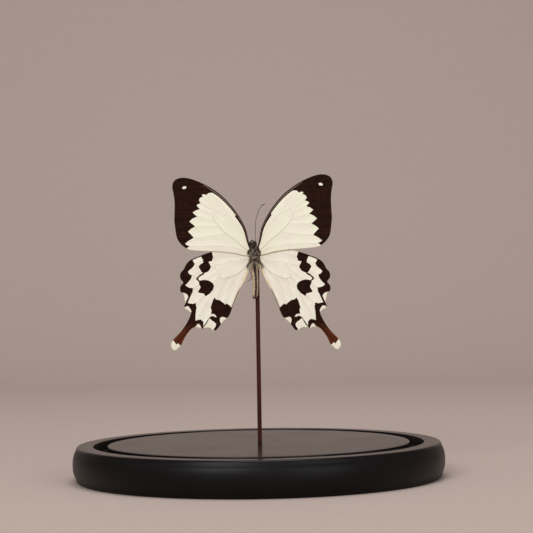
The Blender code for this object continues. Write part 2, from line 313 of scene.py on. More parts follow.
# Outlines and markings lie in the wing's own plane, in millimetres: out from the hinge, up the body
FOREWING_OUTLINE = (
    (-0.9, 1.6), (-0.9, 4.4), (-0.1, 7.0), (0.6, 9.9), (1.8, 15.5), (4.8, 21.5), (9.0, 27.4),
    (14.0, 32.8), (19.5, 37.0), (25.8, 40.5), (32.2, 42.9), (36.9, 43.4), (40.3, 42.1), (41.7, 39.0),
    (41.2, 35.4), (40.7, 30.8), (40.8, 25.6), (41.0, 20.6), (40.5, 15.4), (39.8, 11.3), (37.7, 8.0),
    (34.9, 5.8), (32.0, 4.9), (26.0, 4.4), (18.0, 4.0), (9.0, 3.0), (4.0, 1.8),
)
FRONT_EDGE = slice(1, 12)  # the outline points along the forewing's front edge
FRONT_STRIPE = (
    # height, and how wide the dark stripe is there; it narrows at a small step
    (3.6, 0.4), (6.0, 0.85), (8.0, 1.1), (14.0, 1.45), (18.0, 1.6), (22.7, 2.05), (23.1, 1.3), (29.0, 1.5),
    (34.0, 1.7), (40.0, 2.1),
)
FOREWING_BORDER = (
    # toothed inner edge of the dark border, whose points follow the veins
    (17.0, 36.0), (19.2, 35.1), (20.6, 35.3),
    (22.4, 35.1), (23.4, 34.0), (24.4, 34.5), (25.7, 34.4), (26.0, 34.0), (25.3, 33.4),
    (26.6, 32.8), (27.4, 32.0), (27.5, 31.0), (26.6, 29.8), (28.2, 29.2), (29.0, 28.6),
    (28.2, 27.7), (27.3, 26.7), (29.5, 25.9), (31.1, 24.8), (30.1, 23.8), (28.8, 22.7),
    (31.3, 21.6), (33.1, 20.1), (31.6, 18.8), (29.9, 17.4), (32.2, 16.2), (33.9, 14.7),
    (32.4, 13.2), (30.8, 11.4), (33.3, 10.1), (35.6, 8.3), (34.9, 7.7), (33.2, 6.9), (34.3, 6.4),
    (35.0, 5.4),
    # round outside the wing
    (37.0, 2.0), (50.0, 5.0), (50.0, 50.0), (17.0, 50.0),
)
FOREWING_SPOT = ((36.4, 37.7), (36.2, 38.5), (35.3, 38.9), (34.3, 38.7), (34.4, 37.9), (35.3, 37.4))
FOREWING_GREY_SHEEN = (
    # height, and how far in from the front edge the grey band of painted sheen starts and ends
    (8.0, 0.3, 0.5), (14.0, 0.35, 0.65), (20.0, 0.4, 0.75), (26.0, 0.45, 0.85), (31.0, 0.5, 1.0),
    (36.0, 0.55, 1.1), (39.5, 0.6, 0.85),
)
FOREWING_VEINS = (
    ((1.6, 4.4), (3.5, 5.8), (7.6, 9.6), (10.7, 11.8), (13.3, 13.7), (17.1, 17.7), (19.0, 20.0),
     (20.3, 22.5)),
    ((20.3, 22.5), (20.1, 24.3), (19.1, 26.2)),
    ((1.6, 6.0), (3.3, 12.6), (7.0, 18.2), (10.3, 21.4), (14.7, 24.2), (19.1, 26.2)),
    ((8.6, 20.0), (14.0, 27.0), (20.5, 33.6), (28.5, 39.6)),
    ((12.0, 22.6), (17.0, 28.0), (23.4, 34.0), (31.5, 40.6), (35.0, 43.0)),
    ((17.6, 25.6), (21.0, 29.0), (25.4, 33.3), (32.5, 37.6), (39.6, 41.4)),
    ((19.1, 26.2), (22.8, 27.8), (26.6, 29.8), (33.0, 32.0), (41.0, 33.6)),
    ((20.2, 23.6), (24.1, 25.5), (27.3, 26.7), (33.0, 27.6), (41.2, 28.2)),
    ((19.0, 20.0), (24.3, 21.7), (28.8, 22.7), (41.5, 23.2)),
    ((17.1, 17.7), (23.2, 17.6), (29.9, 17.4), (41.2, 17.6)),
    ((13.3, 13.7), (17.0, 12.9), (21.4, 12.2), (25.2, 11.9), (30.8, 11.4), (40.0, 11.6)),
    ((1.6, 3.4), (5.5, 4.9), (9.3, 5.9), (14.0, 6.6), (20.3, 7.0), (26.7, 7.0), (33.2, 6.9), (37.0, 7.4)),
)
HINDWING_OUTLINE = (
    (-0.7, -3.0), (-0.7, -0.4), (1.2, 2.6), (5.5, 6.0), (11.0, 6.7), (16.0, 5.6), (21.8, 4.0),
    (25.0, 3.1), (28.3, 2.0), (31.5, 0.9), (34.3, -0.6), (36.2, -2.8),
    (37.1, -4.6), (38.8, -6.5), (39.4, -8.6), (38.8, -10.2), (37.8, -11.8), (39.3, -13.7),
    (39.6, -15.7), (39.1, -16.9), (38.0, -17.7), (37.5, -20.2), (37.2, -22.8), (37.8, -25.1),
    (36.0, -26.5), (34.4, -27.9), (34.9, -29.9),
    (36.8, -33.4), (40.0, -37.6), (44.3, -41.8), (45.5, -43.4), (45.7, -45.5), (44.6, -47.2),
    (43.2, -47.4), (41.6, -46.0), (40.3, -45.0), (38.4, -41.4), (35.4, -37.4), (33.0, -35.9),
    (30.7, -35.9), (28.8, -36.7), (26.8, -36.2), (24.5, -36.4), (22.8, -37.8), (21.0, -37.8),
    (19.2, -35.9), (17.2, -33.4), (15.0, -31.9), (13.2, -29.9), (11.5, -26.0), (9.4, -21.4),
    (6.6, -16.2), (3.6, -11.2), (1.4, -6.8),
)
HINDWING_DARKS = {
    "front_patches": (
        (27.4, 4.2), (21.9, 4.9), (21.4, 2.8), (21.0, 1.1), (21.8, -1.0), (23.7, -1.2), (22.9, -2.8),
        (22.4, -4.2), (23.6, -6.1), (25.4, -7.0), (26.9, -7.5), (28.0, -6.0), (29.2, -3.7),
        (28.2, -2.5), (26.5, -1.6), (26.7, -0.2), (27.5, 1.6),
    ),
    "hook": (
        (26.5, -7.0), (28.6, -7.9), (30.4, -9.4), (30.8, -10.2), (30.2, -10.9), (29.3, -11.7),
        (28.9, -11.2), (29.7, -10.1), (28.6, -8.9), (26.4, -7.8),
    ),
    "middle_patch": (
        (29.4, -11.2), (26.8, -10.8), (24.2, -11.2), (21.9, -12.6), (21.2, -14.4), (22.0, -16.4),
        (23.8, -18.3), (26.1, -19.7), (26.9, -18.2), (29.8, -17.5), (29.9, -16.7), (28.8, -15.2),
        (28.6, -14.2), (29.3, -13.0),
    ),
    "tail_side_patch": (
        (21.1, -20.3), (20.4, -21.6), (18.5, -21.9), (16.4, -23.6), (15.5, -24.5), (14.6, -23.9),
        (12.8, -25.3), (11.9, -26.4), (9.5, -27.0), (12.4, -32.4), (14.1, -31.8), (16.3, -31.3),
        (17.5, -30.9), (18.9, -31.6), (20.4, -31.5), (21.0, -29.9), (23.4, -29.1), (23.1, -26.8),
        (23.6, -26.0), (22.9, -23.8), (22.2, -22.0),
    ),
    "corner_arc": (
        (24.7, -31.0), (23.6, -30.5), (22.6, -30.2), (21.2, -30.9), (19.6, -31.2), (18.6, -31.3),
        (18.8, -32.6), (18.6, -33.8), (17.6, -35.4), (18.0, -38.4), (21.6, -39.0), (22.6, -37.4),
        (21.4, -36.0), (21.0, -34.6), (22.0, -33.4), (22.9, -32.9), (24.0, -31.9),
    ),
    "corner_vein": ((24.2, -31.0), (24.6, -31.0), (26.7, -33.8), (28.0, -35.6), (27.7, -36.0), (26.2, -34.2)),
    "front_line": (
        (26.8, 1.9), (29.6, 1.0), (31.8, 0.1), (33.0, 0.4), (31.5, 1.8), (28.3, 3.0), (26.6, 3.4),
    ),
    "border": (
        (27.4, 4.6), (27.6, 2.0), (29.9, 1.0), (32.2, 0.3), (31.9, -0.9), (31.2, -2.0), (32.1, -3.7),
        (33.9, -5.1), (35.1, -6.1), (34.3, -7.5), (32.9, -8.1), (33.6, -10.0), (35.2, -11.9),
        (36.7, -13.2), (35.1, -14.5), (32.7, -15.0), (32.9, -17.0), (33.8, -18.5), (35.6, -22.2),
        (36.6, -24.0), (38.0, -25.4), (37.9, -24.2), (36.9, -22.4), (35.4, -19.4), (35.9, -18.2),
        (37.0, -17.5), (38.4, -17.1), (41.0, -17.0), (43.0, -10.0), (42.0, -3.0), (36.0, 3.0), (30.0, 6.0),
    ),
    "tail": (
        (35.2, -22.9), (33.2, -23.3), (31.6, -23.0), (31.2, -25.4), (31.8, -28.5), (32.2, -32.4),
        (30.8, -32.0), (29.4, -31.7), (27.8, -33.1), (28.0, -36.2), (28.6, -38.6), (34.0, -40.0),
        (38.0, -48.0), (40.6, -45.2), (42.0, -43.8), (42.9, -44.5), (44.3, -42.2), (47.0, -41.0),
        (40.0, -31.0), (36.5, -27.9), (34.6, -28.6), (34.1, -27.3), (34.4, -26.1), (35.6, -24.4),
        (37.9, -24.7), (36.4, -22.6),
    ),
}
HINDWING_PALES = (
    ((32.5, -35.9), (31.2, -34.3), (30.4, -34.0), (29.7, -34.8), (29.1, -36.2), (29.2, -39.0), (33.0, -39.0)),
    ((23.7, -29.4), (22.3, -29.1), (21.1, -29.8), (20.3, -31.1), (21.3, -30.6), (22.6, -29.9)),
)
HINDWING_VEINS = (
    ((0.9, -2.1), (5.1, -6.4), (10.1, -9.2), (15.4, -10.5), (18.2, -9.7)),
    ((1.2, 0.8), (4.5, -1.0), (9.1, -1.5), (13.2, -1.5), (15.9, -3.5), (17.7, -6.0), (18.2, -9.7)),
    ((1.2, 1.6), (9.0, 3.6), (19.0, 1.9), (31.2, -2.0), (36.8, -3.9)),
    ((14.8, -2.5), (21.0, -3.1), (27.0, -5.4), (32.9, -8.1), (39.3, -8.5)),
    ((17.4, -5.5), (22.5, -8.6), (27.0, -11.0), (32.7, -15.0), (39.5, -15.8)),
    ((18.0, -8.6), (22.5, -14.0), (27.5, -19.3), (31.6, -23.0), (37.5, -24.7)),
    ((18.2, -9.7), (21.5, -15.5), (25.5, -22.5), (30.0, -29.0), (34.5, -34.5), (40.0, -40.5), (43.7, -45.8)),
    ((16.2, -10.4), (18.5, -17.0), (21.6, -24.5), (24.6, -31.2), (28.2, -36.2)),
    ((10.1, -9.2), (13.5, -16.5), (17.0, -25.0), (19.5, -31.5), (21.6, -37.3)),
    ((0.9, -3.0), (5.0, -10.5), (9.0, -18.0), (12.5, -26.0), (14.8, -31.6)),
)


def wing_sheet(outline):
    """An even triangle mesh that fills an outline: its points, its triangles and its border loop."""
    border = evenly(catmull(outline, 12, True), LATTICE, True)
    low, high = border.min(0), border.max(0)
    row_gap = LATTICE * sqrt(3) / 2
    rows = np.arange(low[1], high[1], row_gap)
    columns = np.arange(low[0], high[0], LATTICE)
    grid = np.array([(x + (k % 2) * LATTICE / 2, y) for k, y in enumerate(rows) for x in columns])
    grid = grid[inside(grid, border)]
    grid = grid[distance(grid, border, True) > 0.6 * LATTICE]
    points = np.vstack([border, grid])
    loop = list(range(len(border)))
    edges = list(zip(loop, loop[1:] + loop[:1]))
    corners = [Vector(point) for point in points]
    found = geometry.delaunay_2d_cdt(corners, edges, [], 1, 1e-6)
    verts = np.array([tuple(v) for v in found[0]])
    return verts, [tuple(face) for face in found[2]], border


def vein_distance(points, veins):
    return np.min([distance(points, catmull(vein, 6, False)) for vein in veins], axis=0)


def relief(points, veins):
    """Height of the membrane: raised veins, with the skin between them sagging a little."""
    nearest = vein_distance(points, veins)
    ridge = VEIN_RISE * np.exp(-(nearest / VEIN_WIDTH) ** 2)
    sag = -SAG * (1 - np.exp(-(nearest / SAG_REACH) ** 2))
    x, y = points[:, 0], points[:, 1]
    ripple = 0.07 * np.sin(0.31 * x + 0.9) * np.sin(0.27 * y - 0.4) + 0.03 * np.sin(0.83 * x - 0.6 * y)
    return ridge + sag + ripple


def wing_matrix(node, side):
    across, height, swing = WING_SEATS[node]
    return (
        BODY
        @ Matrix.Translation(Vector((across, HINGE_Y, height)) * MM)
        @ Matrix.Rotation(-side * WING_TILT, 4, "Z")
        @ Matrix.Rotation(-side * radians(swing), 4, "Y")
    )


def wing(node, outline, veins, fields, side, lift, material):
    """One wing: a closed skin with a back and an under face, its markings held as distances."""
    flat, triangles, border = wing_sheet(outline)
    x, y = flat.T
    height = lift + CAMBER * (1 - ((x - CAMBER_CENTRE) / CAMBER_CENTRE) ** 2) + relief(flat, veins)
    layers = [np.stack([side * x, -height - skin, y], -1) for skin in (HALF_SKIN, -HALF_SKIN)]
    count = len(flat)
    faces = []
    for a, b, c in triangles:
        outer = (a, c, b) if side > 0 else (a, b, c)
        faces.append(tuple(count + k for k in outer))
        faces.append(tuple(reversed(outer)))
    faces += rim_faces(triangles, count, side)
    values = {key: field(flat) for key, field in fields.items()}
    values["vein"] = vein_distance(flat, veins)
    values["main"] = vein_distance(flat, veins[:1])
    values["edge"] = distance(flat, border, True)
    values["out"] = x
    values["up"] = y
    values["fan"] = np.arctan2(y - VEIN_ROOT[1], x - VEIN_ROOT[0])
    values = {key: np.tile(value, 2) for key, value in values.items()}
    values["under"] = np.repeat([0.0, 1.0], count)
    place = wing_matrix(node, side)
    return piece(f"{node}_membrane", np.vstack(layers), faces, material, "wing", [node], values, place)


def rim_faces(triangles, count, side):
    """The narrow faces that close a skin round its border."""
    edges = dict.fromkeys(pair for a, b, c in triangles for pair in ((a, b), (b, c), (c, a)))
    faces = []
    for start, end in edges:
        if (end, start) not in edges:
            quad = (start, end, count + end, count + start)
            faces.append(quad if side > 0 else tuple(reversed(quad)))
    return faces


def front_distance(points):
    """Distance in from the forewing's front edge."""
    return distance(points, catmull(FOREWING_OUTLINE[FRONT_EDGE], 8, False))


def forewing_dark(points):
    border = depth_in(points, FOREWING_BORDER)
    heights, widths = np.array(FRONT_STRIPE).T
    stripe = np.interp(points[:, 1], heights, widths) - front_distance(points)
    stripe = np.minimum(stripe, points[:, 1] - heights[0])
    spot = depth_in(points, catmull(FOREWING_SPOT, 6, True))
    return np.minimum(np.maximum(border, stripe), -spot)


# A painted sheen: a lighter grey band just inside the forewing's front edge, on the dark stripe.
def forewing_grey_sheen(points):
    heights, starts, ends = np.array(FOREWING_GREY_SHEEN).T
    inward = front_distance(points)
    start = np.interp(points[:, 1], heights, starts)
    end = np.interp(points[:, 1], heights, ends)
    band = np.minimum(inward - start, end - inward)
    return np.minimum(band, np.minimum(points[:, 1] - heights[0], heights[-1] - points[:, 1]))


def hindwing_dark(points):
    dark = np.max([depth_in(points, outline) for outline in HINDWING_DARKS.values()], axis=0)
    for outline in HINDWING_PALES:
        dark = np.minimum(dark, -depth_in(points, outline))
    return dark


def no_grey_sheen(points):
    return np.full(len(points), NEVER)


def wing_material(name, cream, cream_warm, root_tint, rim, hind):
    """Powdery scaled membrane: pale ground, brown-black markings with a scaly edge, tinted veins."""
    s = Shader(name)
    under, out, up = s.attribute("under"), s.attribute("out"), s.attribute("up")
    edge, fan, vein = s.attribute("edge"), s.attribute("fan"), s.attribute("vein")
    grain = s.noise(2600, detail=2.0)
    ragged = s.times(s.add(s.noise(1500, detail=3.0, rough=0.65), -0.5), 0.42)
    dark = s.step(s.add(s.attribute("dark"), ragged), -0.07, 0.07)
    # grey: the painted sheen along the forewing's front edge
    grey = s.step(s.add(s.attribute("grey"), ragged), -0.06, 0.10)
    streak = s.lines(fan, 30.0, 0.52, 0.70)
    main = s.times(s.step(s.attribute("main"), 0.24, 0.05), s.step(out, 24.0, 6.0, 0.6, 0.25))

    layers = [
        (s.step(out, 9.0, 1.0, 0.45), root_tint),
        (s.times(streak, s.step(out, 24.0, 2.0, 0.34, 0.12)), srgb(186, 176, 152)),
        (s.step(vein, 0.20, 0.04, 0.24), srgb(158, 150, 124)),
        (main, srgb(118, 110, 88)),
        (s.step(edge, 0.7, 0.1, 0.6), rim),
    ]
    if hind:
        # the inner margin: yellow blotches near the body, and a worn brown edge further down
        near = s.times(s.step(edge, 1.9, 0.3), s.step(out, 15.0, 11.0))
        blotch = s.step(s.noise(230, detail=3.0), 0.42, 0.60)
        worn = s.times(s.step(edge, 0.7, 0.3), s.times(s.step(up, -13.5, -18.5), s.step(out, 16.5, 14.0)))
        layers.append((s.times(s.times(near, blotch), 0.6), srgb(234, 208, 146)))
        layers.append((s.times(worn, 0.9), srgb(88, 44, 24)))
    layers.append((s.times(under, 0.45), srgb(226, 206, 160)))
    layers.append((s.times(grain, 0.12), srgb(176, 166, 140)))
    ground = s.mix(s.step(s.noise(110, detail=3.0), 0.38, 0.64), cream, cream_warm)
    ground = s.layered(ground, layers)

    tail = s.times(s.step(up, -33.0, -39.0), s.step(out, 26.0, 31.0))
    brown = s.mix(s.step(s.noise(420, detail=4.0), 0.42, 0.75), srgb(29, 12, 6), srgb(42, 19, 11))
    brown = s.layered(brown, (
        (s.times(tail, s.lines(fan, 62.0, 0.40, 0.56)), srgb(100, 46, 22)),
        (s.step(vein, 0.25, 0.05, 0.30), srgb(62, 34, 24)),
        # painted sheen: faint reddish-brown lines along the dark markings
        (s.times(s.lines(up, 1.1, 0.50, 0.66), 0.42), srgb(62, 28, 18)),
        (s.times(under, 0.55), srgb(120, 84, 52)),
        # painted sheen: the grey band along the forewing's front edge
        (s.times(grey, 0.85), srgb(132, 114, 104)),
    ))
    colour = s.mix(dark, ground, brown)
    if hind:
        # painted shade of faint creases: darker lines across the pale ground
        crease_shade_edges = s.node("ShaderNodeTexVoronoi", {"Vector": s.coords((1, 1, 0.5)), "Scale": 230.0},
                        feature="DISTANCE_TO_EDGE").outputs["Distance"]
        crease_shade = s.times(s.step(crease_shade_edges, 0.05, 0.0), s.step(s.noise(90, detail=2.0), 0.48, 0.62))
        colour = s.mix(s.times(crease_shade, s.step(dark, 0.5, 0.1, 0.16)), colour, srgb(176, 160, 136))

    scales = s.add(s.times(s.cells(5200, (1, 1, 0.45)), 0.7), s.times(grain, 0.6))
    normal = s.bump(s.add(scales, s.times(streak, -0.5)), 0.00005, 0.5)
    rough = s.add(s.times(dark, -0.06), s.step(grain, 0.2, 0.8, 0.80, 0.68))
    return s.finish(Base_Color=colour, Roughness=rough, Normal=normal, Specular_IOR_Level=0.06)


def wings():
    fore = wing_material("forewing_scales", srgb(243, 242, 219), srgb(244, 237, 220), srgb(236, 232, 202),
                         srgb(232, 222, 190), False)
    hind = wing_material("hindwing_scales", srgb(246, 241, 224), srgb(243, 234, 218), srgb(238, 227, 210),
                         srgb(228, 208, 162), True)
    fore_fields = {"dark": forewing_dark, "grey": forewing_grey_sheen}
    hind_fields = {"dark": hindwing_dark, "grey": no_grey_sheen}
    for side, label in ((-1, "left"), (1, "right")):
        wing(f"forewing_{label}", FOREWING_OUTLINE, FOREWING_VEINS, fore_fields, side, WING_LIFT, fore)
        wing(f"hindwing_{label}", HINDWING_OUTLINE, HINDWING_VEINS, hind_fields, side, -WING_LIFT, hind)


# ---------------------------------------------------------------- base and rod

BASE_TOP_MM = BASE_TOP / MM
GROOVE_DEPTH = 5.5
GROOVE_INNER = 81.2
GROOVE_OUTER = 88.9
GROOVE_LIP = 0.4  # rounding of the groove's upper edges
GROOVE_BED = 0.5  # rounding along its floor
RIM_ROUND = 1.6
RIM_CENTRE = 96.6  # radius at which the rim's rounding has its centre, and the foot's below
FOOT_ROUND = 2.0
FOOT_CENTRE = 96.4
HOLE_EDGE = 0.25  # bevel of the rod hole's mouth
FLAT_CORE = 0.05  # radius of the faces that close a turned piece on its axis
BASE_SIDE = (
    # radius, and height as a share of the base's height: the barrelled side
    (98.35, 0.87), (99.1, 0.80), (99.65, 0.70), (99.95, 0.58), (100.0, 0.48), (99.9, 0.36),
    (99.5, 0.26), (98.95, 0.17), (98.3, 0.10),
)
ROD_X = 0.67
ROD_RADIUS = 1.15
ROD_HOLE_RADIUS = 1.3
ROD_HOLE_DEPTH = 9.0
ROD_SHOULDER = 92.6  # above the base's top, where the taper to the pin starts
ROD_TAPER = 3.2
PIN_RADIUS = 0.4
PIN_TOP = 100.4
LATHE_CREASE = radians(40)


def arc(centre, radius, start, end, steps):
    """Points (radius from the axis, height) along an arc whose angles are in degrees."""
    turn = [radians(start + (end - start) * i / steps) for i in range(steps + 1)]
    return [(centre[0] + radius * cos(t), centre[1] + radius * sin(t)) for t in turn]


def lathe(name, rings, steps, material, slot, replaced):
    """A turned piece from rings of (radius, height, sideways shift of the ring), all in millimetres."""
    turn = np.arange(steps) * 2 * pi / steps
    points = [
        np.stack([shift + radius * np.cos(turn), radius * np.sin(turn), np.full(steps, height)], -1)
        for radius, height, shift in rings
    ]
    faces = [tuple(reversed(face)) for face in ring_faces(len(rings), steps)]
    made = piece(name, np.vstack(points), faces, material, slot, replaced, place=Matrix.Identity(4))
    made.data.set_sharp_from_angle(angle=LATHE_CREASE)


def ebonised_wood():
    """Black-stained, satin-lacquered wood: faint grain, fine turning rings, soft gloss."""
    s = Shader("ebonised_wood")
    grain = s.noise(420, (0.05, 1.0, 0.6), detail=4.0, rough=0.6)
    figure = s.noise(55, (0.14, 1.0, 0.5), detail=3.0, distort=0.8)
    smudge = s.noise(38, detail=4.0, rough=0.6)
    colour = s.mix(s.step(figure, 0.35, 0.7), srgb(10, 7, 7), srgb(16, 11, 10))
    colour = s.mix(s.step(grain, 0.56, 0.72, 0.4), colour, srgb(6, 5, 5))
    # glossier on the side than on top, changing over the rim's rounding; 0.3 mm is near its upper end
    level = s.node("ShaderNodeSeparateXYZ", {"Vector": s.coords()}).outputs["Z"]
    rough = s.step(level, BASE_TOP - RIM_ROUND * MM, BASE_TOP - 0.3 * MM, 0.19, 0.40)
    rough = s.add(rough, s.add(s.step(smudge, 0.3, 0.7, 0.03), s.step(grain, 0.5, 0.75, 0.03)))
    rings = s.node("ShaderNodeTexWave", {"Vector": s.coords(), "Scale": 330.0, "Distortion": 1.2,
                   "Detail": 2.0}, wave_type="RINGS", rings_direction="Z").outputs["Fac"]
    relief_height = s.add(s.times(rings, 0.10), s.times(s.step(grain, 0.5, 0.7, -1.0), 0.45))
    normal = s.bump(relief_height, 0.00003, 0.18)
    return s.finish(Base_Color=colour, Roughness=rough, Normal=normal, Specular_IOR_Level=0.14)


def base():
    """Turned plinth: flat disc and rim with the dome's groove between them, and a barrelled side."""
    top, lip, bed = BASE_TOP_MM, GROOVE_LIP, GROOVE_BED
    hole = top - ROD_HOLE_DEPTH
    low = top - GROOVE_DEPTH + bed
    rings = [(FLAT_CORE, hole, ROD_X), (ROD_HOLE_RADIUS, hole, ROD_X)]
    rings += [(ROD_HOLE_RADIUS, top - HOLE_EDGE, ROD_X), (ROD_HOLE_RADIUS + HOLE_EDGE, top, ROD_X)]
    rings += [(radius, top, ROD_X * (1 - radius / 12)) for radius in (2.5, 6.0, 12.0)]
    rings += [(radius, top, 0.0) for radius in (30.0, 55.0, 75.0)]
    profile = arc((GROOVE_INNER - lip, top - lip), lip, 90, 0, 4)
    profile += [(GROOVE_INNER, low)] + arc((GROOVE_INNER + bed, low), bed, 180, 270, 3)
    profile += arc((GROOVE_OUTER - bed, low), bed, 270, 360, 3)
    profile += arc((GROOVE_OUTER + lip, top - lip), lip, 180, 90, 4)
    profile += [(92.0, top)] + arc((RIM_CENTRE, top - RIM_ROUND), RIM_ROUND, 90, 20, 10)
    side = catmull([(radius, share * top) for radius, share in BASE_SIDE], 3, False)
    profile += [tuple(point) for point in side]
    profile += arc((FOOT_CENTRE, FOOT_ROUND), FOOT_ROUND, 0, -90, 8) + [(60.0, 0.0), (FLAT_CORE, 0.0)]
    rings += [(radius, height, 0.0) for radius, height in profile]
    lathe("base_turned", rings, 288, ebonised_wood(), "ebonised_wood", ["base"])


def rod_metal():
    """Brown-patinated bronze: drawn streaks along the rod, paler where it is rubbed."""
    s = Shader("patinated_rod")
    streak = s.noise(2600, (1.0, 1.0, 0.02), detail=3.0)
    patch = s.noise(120, (1.0, 1.0, 0.35), detail=4.0, rough=0.6)
    colour = s.mix(s.step(patch, 0.35, 0.7), srgb(57, 21, 14), srgb(75, 32, 22))
    colour = s.mix(s.step(streak, 0.5, 0.7, 0.4), colour, srgb(38, 17, 13))
    rough = s.step(patch, 0.3, 0.75, 0.30, 0.42)
    normal = s.bump(streak, 0.00001, 0.4)
    return s.finish(Base_Color=colour, Roughness=rough, Metallic=0.15, Normal=normal, Specular_IOR_Level=0.2)


def rod():
    """The rod, tapered to a thin pin where it enters the thorax."""
    foot = BASE_TOP_MM - ROD_HOLE_DEPTH + 0.3
    shoulder = BASE_TOP_MM + ROD_SHOULDER
    pin = BASE_TOP_MM + PIN_TOP
    profile = [(0.02, foot), (ROD_RADIUS - 0.1, foot), (ROD_RADIUS, foot + 0.1)]
    profile += [(ROD_RADIUS, foot + (shoulder - foot) * i / 40) for i in range(1, 41)]
    for i in range(1, 9):
        share = i / 8
        ease = share * share * (3 - 2 * share)
        profile.append((ROD_RADIUS + (PIN_RADIUS - ROD_RADIUS) * ease, shoulder + ROD_TAPER * share))
    profile += [(PIN_RADIUS, pin - 0.4), (PIN_RADIUS * 0.5, pin - 0.1), (0.02, pin)]
    rings = [(radius, height, ROD_X) for radius, height in reversed(profile)]
    lathe("rod_turned", rings, 40, rod_metal(), "bronze_rod", ["rod"])


# ---------------------------------------------------------------- body

# Each station: height, shift to the right, shift towards the belly, half width, half depth
THORAX_STATIONS = (
    (-3.5, 0.0, 0.5, 0.9, 1.2), (-2.8, 0.0, 0.5, 1.9, 2.4), (-1.2, 0.0, 0.5, 2.6, 3.3),
    (0.8, 0.0, 0.5, 2.8, 3.5), (2.8, 0.0, 0.4, 2.7, 3.3), (4.4, -0.2, 0.3, 2.2, 2.7),
    (5.3, -0.3, 0.2, 1.6, 2.0), (5.9, -0.4, 0.2, 0.8, 1.0),
)
ABDOMEN_STATIONS = (
    (-22.0, -0.65, 0.0, 0.35, 0.45), (-21.4, -0.6, 0.0, 0.8, 0.9), (-20.6, -0.5, 0.0, 1.2, 1.25),
    (-19.2, -0.3, 0.0, 1.5, 1.45), (-17.0, -0.1, 0.0, 1.45, 1.5), (-14.5, 0.1, 0.0, 1.45, 1.6),
    (-12.0, 0.1, 0.0, 1.5, 1.65), (-9.5, 0.0, 0.0, 1.6, 1.65), (-7.0, -0.2, 0.0, 1.75, 1.65),
    (-5.2, -0.35, 0.0, 1.85, 1.6), (-4.0, -0.4, 0.0, 1.6, 1.3), (-3.0, -0.4, 0.2, 1.0, 0.9),
)
HEAD_CENTRE = np.array((-0.75, 0.3, 7.6))
HEAD_HALF = np.array((1.5, 1.3, 1.45))
EYE_RADIUS = 1.05
EYE_OFFSET = np.array((1.3, 0.25, -0.15))
PALP_OFFSET = np.array((0.45, 0.7, 1.1))
PALP_HALF = np.array((0.35, 0.4, 0.95))
SEGMENT = 2.15  # length of one abdomen segment
DORSAL = -pi / 2
STRIPE_CENTRE = DORSAL + 0.22
STRIPE_HALF = 0.34
DOWN = np.array((0, 0, -1.0))
TUBE_SIDES = 12
THORAX_HAIRS = 7000
ABDOMEN_HAIRS = 3600
HEAD_HAIRS = 2600
STRAND_RINGS = ((0.0, 1.0), (0.4, 0.85), (0.75, 0.5))  # place along a hair, and its thickness there
# Spots of differently coloured hair, and one painted sheen: right of the axis, above the hinges, reach, tone,
# warmth
THORAX_SPOTS = (
    # the third spot, at (-0.3, 2.4), is a painted sheen: bluish-grey hair where the back catches the light
    (-1.2, 4.9, 0.5, 0.95, 0.3), (0.75, 5.6, 0.45, 0.85, 1.0), (-0.3, 2.4, 1.0, 0.5, 0.0),
    (-0.2, 5.6, 0.5, 0.02, 0.3), (0.2, 3.9, 0.6, 0.02, 0.3), (-2.0, 3.9, 0.5, 0.45, 0.4),
    (-0.6, 0.9, 0.45, 1.0, 0.1), (0.75, 1.0, 0.45, 1.0, 0.1), (0.1, -0.2, 0.45, 0.05, 0.3),
    (-1.1, -1.6, 0.8, 0.6, 0.3), (0.5, -2.4, 0.9, 0.85, 0.0),
)
HEAD_SPOTS = (
    (-1.5, 9.0, 0.3, 0.9, 0.1), (-1.2, 8.6, 0.28, 0.9, 0.1), (-0.9, 8.3, 0.28, 0.85, 0.1),
    (-0.6, 8.7, 0.28, 0.9, 0.1), (-0.3, 9.0, 0.28, 0.9, 0.1), (-1.3, 6.7, 0.32, 0.7, 0.1),
    (-0.9, 7.1, 0.32, 0.7, 0.1), (-0.5, 7.5, 0.3, 0.65, 0.1),
)
# Each tuft: hairs, the two ends of the line they start on, their direction, how far they scatter, and the
# ranges of their lengths, tones and warmth; the places are the right side's, which the left side mirrors,
# but the shoulders are a little unlike each other (-1 is the left one)
SHOULDERS = {
    -1: (360, (2.7, -2.9, 4.3), (3.1, -2.9, 2.9), (0.4, -0.2, -0.9), 0.28, (0.7, 1.3), (0.08, 0.55),
         (0.35, 0.7)),
    1: (360, (2.4, -2.9, 4.3), (2.8, -2.9, 2.9), (0.4, -0.2, -0.9), 0.28, (0.7, 1.3), (0.08, 0.55),
        (0.7, 1.0)),
}
TUFTS = (
    (420, (1.5, -2.5, 6.2), (1.7, -2.7, 4.2), (0.75, -0.3, -0.5), 0.24, (0.7, 1.3), (0.03, 0.5), (0.2, 0.7)),
    (230, (1.9, -2.9, 0.7), (2.5, -2.7, -1.5), (0.22, -0.1, -1.0), 0.22, (0.9, 1.8), (0.3, 0.8), (0.3, 0.7)),
    (90, (2.6, -2.6, -1.2), (3.1, -2.6, -2.3), (0.42, -0.06, -0.9), 0.09, (1.2, 5.2), (0.35, 0.75),
     (0.2, 0.5)),
    (200, (1.1, -3.7, -2.4), (1.8, -3.7, -4.6), (0.16, 0.0, -1.0), 0.26, (1.0, 2.2), (0.4, 1.0), (0.4, 0.8)),
)
TUFT_BEND = (0.0, 0.1, -0.1)


def unit(vectors):
    """The same directions with a length of one."""
    return vectors / np.linalg.norm(vectors, axis=1)[:, None]


def share_of(values):
    """Values held between 0 and 1."""
    return np.clip(values, 0, 1)


